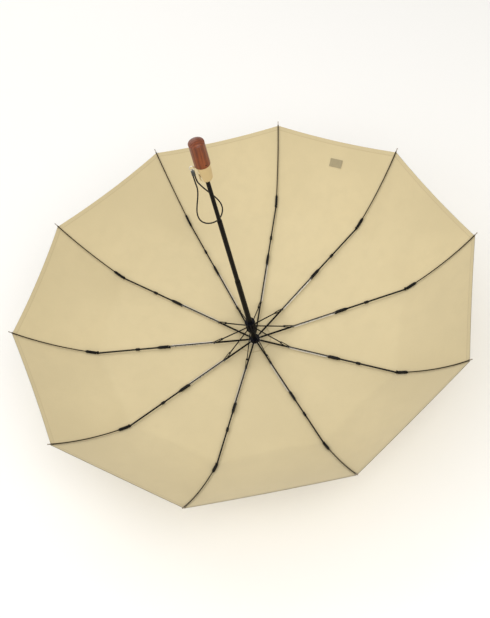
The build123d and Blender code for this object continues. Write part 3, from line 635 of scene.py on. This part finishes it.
def close_sheet(points, inner, outer, normals, maps):
    """Thin closed sheet: an inner and an outer grid, and walls round their edges."""
    rows, columns = points.shape[:2]
    count = rows * columns
    index = np.arange(count).reshape(rows, columns)
    rim = np.concatenate([index[0], index[1:, -1], index[-1, -2::-1], index[-2::-1, 0]])
    faces = np.concatenate([
        grid_faces(rows, columns, flip=True),
        grid_faces(rows, columns, first=count),
        strip_faces(rim, rim + count),
    ])
    both = np.concatenate([(points + normals * inner[:, :, None]).reshape(-1, 3),
                           (points - normals * outer[:, :, None]).reshape(-1, 3)])
    facing = np.concatenate([normals.reshape(-1, 3), -normals.reshape(-1, 3)])
    doubled = {name: np.tile(values.reshape(-1, 2), (2, 1)) for name, values in maps.items()}
    return both, faces, facing, doubled


SECTIONS = (
    ("top", "top_rib", 0.060),
    ("middle", "middle_rib", 0.050),
    ("outer", "outer_rib", OUTER_KEEP),
)


class UMBRELLA_OT_canopy(bpy.types.Operator):
    """Cloth of the ten gores, in half gores that ride on the ribs"""
    bl_idname = "umbrella.canopy"
    bl_label = "Canopy"

    def execute(self, context):
        given = settings("cloth")
        material = cloth_finish()
        points, normals, offset, from_hem = half_gore()
        radius = np.repeat(rib_stations()[:, None], offset.shape[1], axis=1)
        seam = 1 - smoothstep(given.seam_width * 0.86, given.seam_width * 1.14, offset)
        hem = 1 - smoothstep(given.hem_width - 0.0004, given.hem_width + 0.0004, from_hem)
        patch = 1 - smoothstep(given.patch_radius - 0.0004, given.patch_radius + 0.0004, radius)
        inner = given.thickness / 2 + given.seam_rise * seam + given.hem_rise * np.maximum(hem, patch)
        outer = np.full_like(inner, given.thickness / 2)
        breaks = [np.argmin(abs(radius[:, 0] - limit)) for limit in (ELBOW.x, KNEE.x)]
        spans = zip([0, *breaks], [*breaks, len(radius) - 1])
        for (section, bodies, keep), (low, high) in zip(SECTIONS, spans):
            rows = slice(low, high + 1)
            for number in range(RIBS):
                for side in (1, -1):
                    self.make(number, side, section, bodies, keep, rows, material,
                              (points, normals, offset, from_hem, radius, inner, outer))
        return {"FINISHED"}

    def make(self, number, side, section, bodies, keep, rows, material, grids):
        """One section of a half gore."""
        points, normals, offset, from_hem, radius, inner, outer = (grid[rows] for grid in grids)
        azimuth = -number * 2 * HALF_GORE
        mirror = np.array([1, side, 1])
        maps = {
            "Weave": np.stack([offset * side, radius], axis=2),
            "Edges": np.stack([from_hem, offset], axis=2),
        }
        placed = turned(points * mirror, azimuth)
        facing = turned(normals * mirror, azimuth)
        both, faces, facing, maps = close_sheet(placed, inner, outer, facing, maps)
        if side < 0:
            faces = faces[:, ::-1]
        name = f"canopy_{section}_{number + 1:02d}_{'left' if side > 0 else 'right'}"
        piece = new_piece(name, both, faces, material, maps, facing)
        body = f"{bodies}_{number + 1:02d}"
        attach(piece, body)
        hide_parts("canopy", "crown_patch")
        tangent = turned(np.array([0.0, side, 0.0]), azimuth)
        tuple(tangent * GATHER_SIDE)
        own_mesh(piece)
        area = surface_area(points)


class UMBRELLA_OT_crown(bpy.types.Operator):
    """Flat ring of cloth held between the notch and the ferrule cap"""
    bl_idname = "umbrella.crown"
    bl_label = "Crown"

    def execute(self, context):
        given = settings("cloth")
        around = 40
        radius = np.linspace(CLOTH_START, CROWN_END, 5)[:, None]
        turn = np.linspace(0, 2 * math.pi, around + 1)[None, :]
        chord = (turn + HALF_GORE) % (2 * HALF_GORE) - HALF_GORE
        flat = math.cos(HALF_GORE) / np.cos(HALF_GORE - abs(chord))
        to_edge = 1 + (flat - 1) * smoothstep(CLOTH_START, CROWN_END, radius)
        x, y = radius * to_edge * np.cos(turn), radius * to_edge * np.sin(turn)
        height = cloth_height(radius) * np.ones_like(turn)
        points = np.stack([x, y, height], axis=2)
        normals = np.zeros_like(points)
        normals[:, :, 2] = 1
        half = np.full(points.shape[:2], given.thickness / 2)
        maps = {
            "Weave": np.stack([x, y], axis=2),
            "Edges": np.full((*points.shape[:2], 2), 0.1),
        }
        both, faces, _, maps = close_sheet(points, half, half, normals, maps)
        piece = new_piece("canopy_crown", both, faces[:, ::-1], bpy.data.materials["canopy_cloth"],
                          maps)
        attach(piece, "canopy_head")
        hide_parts("canopy")
        surface_area(points)
        return {"FINISHED"}


LABEL_SIZE = (0.032, 0.020)
LABEL_LIFT = 0.0010  # height of the tag's middle over the cloth's middle
LABEL_SAG = 0.85  # share of the hem's sag that is left at the tag
LABEL_RISE = 0.73  # radius gained per length up the sloping cloth
RIPPLE = 0.00025
TURN_IN = 0.00022  # extra thickness where the tag's long edges are folded


class UMBRELLA_OT_label(bpy.types.Operator):
    """Plain woven tag sewn inside the first gore"""
    bl_idname = "umbrella.label"
    bl_label = "Label"

    def execute(self, context):
        low, high = (np.array(corner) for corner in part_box("care_label"))
        centre = (low + high) / 2
        spoke = math.hypot(centre[0], centre[1])
        turn = math.atan2(centre[1], centre[0]) + HALF_GORE
        radius = spoke * math.cos(turn) / math.cos(HALF_GORE) + LABEL_SAG * settings("cloth").hem_sag
        width = 2 * radius * math.sin(HALF_GORE)
        u = np.linspace(-LABEL_SIZE[0] / 2, LABEL_SIZE[0] / 2, 33)[None, :]
        v = np.linspace(-LABEL_SIZE[1] / 2, LABEL_SIZE[1] / 2, 21)[:, None]
        share = 0.5 + (spoke * math.sin(turn) + u) / width
        rib_radius = radius + v * LABEL_RISE + 0 * u
        points = gore_surface(rib_radius, share + 0 * v)
        normals = grid_normals(points)
        ripple = RIPPLE * np.sin(u * 260 + v * 90)
        folded = TURN_IN * smoothstep(0.0075, 0.0085, abs(v)) * np.ones_like(u)
        points = turned(points + normals * (LABEL_LIFT + ripple)[:, :, None], -2 * HALF_GORE)
        normals = turned(normals, -2 * HALF_GORE)
        maps = {"Weave": np.stack([u + 0 * v, v + 0 * u], axis=2)}
        both, faces, _, maps = close_sheet(points, 0.0002 + folded, 0.0002 + 0 * folded, normals, maps)
        piece = new_piece("care_tag", both, faces, label_finish(), maps)
        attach(piece, "outer_rib_02")
        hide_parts("care_label")
        tangent = turned(np.array([0.0, 1.0, 0.0]), -2 * HALF_GORE)
        tuple(tangent * GATHER_SIDE)
        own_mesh(piece)
        return {"FINISHED"}


# ---------------------------------------------------------------- wrist loop
def beside_handle(side, depth, height):
    """Point beside the handle: side towards the lug, depth across it, height up the shaft."""
    turn = math.atan2(LUG.y, LUG.x)
    return (side * math.cos(turn) - depth * math.sin(turn),
            side * math.sin(turn) + depth * math.cos(turn), height)


CORD_STEP = 0.00042  # distance between rings of the cord's mesh
RIDGE = 0.035  # height of the braid's ridges, as a share of the cord's radius
CORD_SIDE = 0.0210
CORD_GAP = 0.0017  # from the middle of the clasp to each end of the cord
CORD_ROUTE = [
    (CORD_SIDE + CORD_GAP, 0.0, CLASP_FOOT),
    (CORD_SIDE + CORD_GAP, 0.0, 0.5470),
    (0.0220, -0.0050, 0.5240),
    (0.0260, -0.0105, 0.5005),
    (0.0331, -0.0140, 0.4750),
    (0.0382, -0.0160, 0.4525),
    (0.0374, -0.0170, 0.4312),
    (0.0274, -0.0180, 0.4160),
    (0.0118, -0.0185, 0.4115),
    (-0.0026, -0.0180, 0.4184),
    (-0.0123, -0.0175, 0.4367),
    (-0.0136, -0.0170, 0.4566),
    (-0.0076, -0.0170, 0.4759),
    (0.0026, -0.0169, 0.4949),
    (0.0108, -0.0135, 0.5140),
    (0.0163, -0.0065, 0.5330),
    (CORD_SIDE - CORD_GAP, 0.0, 0.5480),
    (CORD_SIDE - CORD_GAP, 0.0, CLASP_FOOT),
]


def route_line(places):
    """Points along a smooth NURBS line whose control points are these places."""
    curve = bpy.data.curves.new("cord_route", "CURVE")
    curve.dimensions = "3D"
    curve.resolution_u = 64
    spline = curve.splines.new("NURBS")
    spline.points.add(len(places) - 1)
    for point, place in zip(spline.points, places):
        point.co = (*beside_handle(*place), 1)
    spline.order_u = 3
    spline.use_endpoint_u = True
    holder = bpy.data.objects.new("cord_route", curve)
    bpy.context.scene.collection.objects.link(holder)
    mesh = bpy.data.meshes.new_from_object(holder)
    line = np.empty(3 * len(mesh.vertices))
    mesh.vertices.foreach_get("co", line)
    bpy.data.objects.remove(holder)
    bpy.data.meshes.remove(mesh)
    return line.reshape(-1, 3)


def evenly(line, step):
    """Points a step apart along a line of points, and their distances from its start."""
    run = np.concatenate([[0], np.linalg.norm(np.diff(line, axis=0), axis=1).cumsum()])
    places = np.linspace(0, run[-1], int(run[-1] / step) + 1)
    return np.stack([np.interp(places, run, line[:, axis]) for axis in range(3)], axis=1), places


class UMBRELLA_OT_cord(bpy.types.Operator):
    """Braided wrist cord, hung as a loop from its clasp"""
    bl_idname = "umbrella.cord"
    bl_label = "Wrist cord"

    def execute(self, context):
        given = settings("cord")
        path, run = evenly(route_line(CORD_ROUTE), CORD_STEP)
        around = 20
        turn = np.linspace(0, 2 * math.pi, around + 1)[None, :]
        tangent = np.gradient(path, axis=0)
        tangent /= np.linalg.norm(tangent, axis=1)[:, None]
        depth = np.array(beside_handle(0, 1, 0))
        side = np.cross(tangent, depth)
        side /= np.linalg.norm(side, axis=1)[:, None]
        lift = np.cross(side, tangent)
        phase = given.strands * turn
        climb = (2 * math.pi / given.braid_pitch) * run[:, None]
        braid = np.sin(phase + climb) * np.sin(phase - climb)
        radius = given.diameter / 2 * (1 + RIDGE * braid)
        spokes = np.cos(turn)[..., None] * side[:, None] + np.sin(turn)[..., None] * lift[:, None]
        points = path[:, None] + radius[..., None] * spokes
        rows, columns = points.shape[:2]
        faces = grid_faces(rows, columns)
        ends = [np.arange(columns - 1), np.arange(columns - 1) + (rows - 1) * columns]
        u = np.broadcast_to(turn / (2 * math.pi), (rows, columns))
        v = np.broadcast_to(run[:, None], (rows, columns))
        maps = {"Braid": np.stack([u, v], axis=2).reshape(-1, 2)}
        closed = faces.tolist() + [ends[0].tolist(), ends[1][::-1].tolist()]
        piece = new_piece("braided_cord", points.reshape(-1, 3), closed, cord_finish(), maps)
        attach(piece, "wrist_loop")
        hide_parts("wrist_cord")
        return {"FINISHED"}


# ---------------------------------------------------------------- finishes of the hard parts
def dress(material, *starts):
    """Give a finish to every node whose name starts with one of these words."""
    for name, node in frame["nodes"].items():
        if name.startswith(starts):
            node.data.materials.clear()
            node.data.materials.append(material)


class UMBRELLA_OT_ribs(bpy.types.Operator):
    """Finish of the ribs and stretchers"""
    bl_idname = "umbrella.ribs"
    bl_label = "Ribs"

    def execute(self, context):
        dress(rib_finish(), "top_rib_", "stretcher_", "middle_rib_")
        dress(rod_finish(), "outer_rib_")
        return {"FINISHED"}


class UMBRELLA_OT_shaft(bpy.types.Operator):
    """Finish of the tubes, notch, runner, springs and ferrule"""
    bl_idname = "umbrella.shaft"
    bl_label = "Shaft"

    def execute(self, context):
        dress(lacquer_finish(), "upper_tube", "middle_tube", "lower_tube")
        dress(moulded_finish("black_plastic", (0.004, 0.004, 0.007), 0.36, 1500.0, 0.25, gloss=0.14),
              "top_notch", "runner", "ferrule_cap")
        dress(metal_finish("bright_steel", (0.62, 0.62, 0.64), 0.28, 1900.0),
              "notch_ring_wire", "runner_ring_wire", "shaft_spring", "button_spring")
        return {"FINISHED"}


class UMBRELLA_OT_handle(bpy.types.Operator):
    """Finish of the grip, collar, button, ring and clasp"""
    bl_idname = "umbrella.handle"
    bl_label = "Handle"

    def execute(self, context):
        dress(wood_finish(), "handle_grip")
        dress(plug_finish(), "grip_pin")
        colour = tuple(settings("handle").plastic)
        dress(moulded_finish("collar_plastic", colour, 0.42, 900.0, 0.12), "handle_collar", "release_button")
        dress(metal_finish("ring_chrome", (0.80, 0.80, 0.80), 0.12, 2400.0), "cord_ring")
        dress(metal_finish("clasp_metal", (0.10, 0.11, 0.11), 0.34, 1700.0), "cord_clasp")
        return {"FINISHED"}


# ---------------------------------------------------------------- stage
class UMBRELLA_OT_stage(bpy.types.Operator):
    """Camera, pale floor and soft studio light"""
    bl_idname = "umbrella.stage"
    bl_label = "Stage"

    def execute(self, context):
        given = settings("stage")
        self.camera(given)
        self.floor()
        light = given.light
        self.lamp("key_light", (-1.5, -1.4, 2.5), 2.4, light * 1.00, (1.0, 0.975, 0.93))
        self.lamp("fill_light", (1.6, 1.7, 2.2), 2.8, light * 0.50, (1.0, 0.98, 0.95))
        self.lamp("back_light", (-1.7, 1.6, 1.8), 2.2, light * 0.30, (1.0, 0.99, 0.97))
        world = context.scene.world or bpy.data.worlds.new("studio")
        context.scene.world = world
        world.use_nodes = True
        backing = world.node_tree.nodes["Background"]
        backing.inputs["Color"].default_value = (1.0, 0.99, 0.97, 1)
        backing.inputs["Strength"].default_value = 0.66
        context.scene.view_settings.view_transform = "Standard"
        return {"FINISHED"}

    def camera(self, given):
        """Camera that looks from its place to its aim, rolled about that line."""
        data = bpy.data.cameras.new("camera")
        data.lens = given.lens
        data.sensor_width = 36.0
        camera = bpy.data.objects.new("camera", data)
        bpy.context.scene.collection.objects.link(camera)
        sight = Vector(given.aim) - Vector(given.place)
        upright = sight.to_track_quat("-Z", "Y").to_matrix().to_4x4()
        camera.matrix_world = (Matrix.Translation(given.place) @ upright
                               @ Matrix.Rotation(given.roll, 4, "Z"))
        bpy.context.scene.camera = camera

    def floor(self):
        """Wide pale floor just under the ferrule's tip."""
        reach, rows = 6.0, 25
        line = np.linspace(-reach, reach, rows)
        x, y = np.meshgrid(line, line)
        points = np.stack([x, y, np.full_like(x, -0.0005)], axis=2).reshape(-1, 3)
        paint = Paint("floor", (0.90, 0.895, 0.88), 0.8)
        paint.feed("Roughness", 0.75 + paint.noise(3.0) * 0.1)
        mesh = bpy.data.meshes.new("floor")
        mesh.from_pydata(points.tolist(), [], grid_faces(rows, rows).tolist())
        mesh.materials.append(paint.material)
        floor = bpy.data.objects.new("floor", mesh)
        bpy.context.scene.collection.objects.link(floor)

    def lamp(self, name, place, size, watts, colour):
        """Square soft light that faces the umbrella."""
        data = bpy.data.lights.new(name, "AREA")
        data.size = size
        data.energy = watts
        data.color = colour
        lamp = bpy.data.objects.new(name, data)
        bpy.context.scene.collection.objects.link(lamp)
        aim = Vector((0, 0, 0.2)) - Vector(place)
        lamp.matrix_world = Matrix.Translation(place) @ aim.to_track_quat("-Z", "Y").to_matrix().to_4x4()


# ---------------------------------------------------------------- panel and registration
OPERATORS = (
    UMBRELLA_OT_stage,
    UMBRELLA_OT_cord,
    UMBRELLA_OT_canopy,
    UMBRELLA_OT_crown,
    UMBRELLA_OT_label,
    UMBRELLA_OT_ribs,
    UMBRELLA_OT_shaft,
    UMBRELLA_OT_handle,
)


class UMBRELLA_PT_pieces(bpy.types.Panel):
    """Buttons for each group of pieces, and their settings"""
    bl_label = "Folding umbrella"
    bl_space_type = "VIEW_3D"
    bl_region_type = "UI"
    bl_category = "Umbrella"

    def draw(self, context):
        for operator in OPERATORS:
            self.layout.operator(operator.bl_idname)
        for group, kind in SETTINGS.items():
            box = self.layout.box()
            for name in kind.__annotations__:
                box.prop(settings(group), name)


CLASSES = (*SETTINGS.values(), *OPERATORS, UMBRELLA_PT_pieces)


def register():
    for kind in CLASSES:
        bpy.utils.register_class(kind)
    for group, kind in SETTINGS.items():
        setattr(bpy.types.Scene, f"umbrella_{group}", PointerProperty(type=kind))


def unregister():
    for group in SETTINGS:
        delattr(bpy.types.Scene, f"umbrella_{group}")
    for kind in reversed(CLASSES):
        bpy.utils.unregister_class(kind)


def main():
    """Register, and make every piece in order."""
    register()
    for operator in OPERATORS:
        group, action = operator.bl_idname.split(".")
        getattr(getattr(bpy.ops, group), action)()


if __name__ == "__main__":
    main()
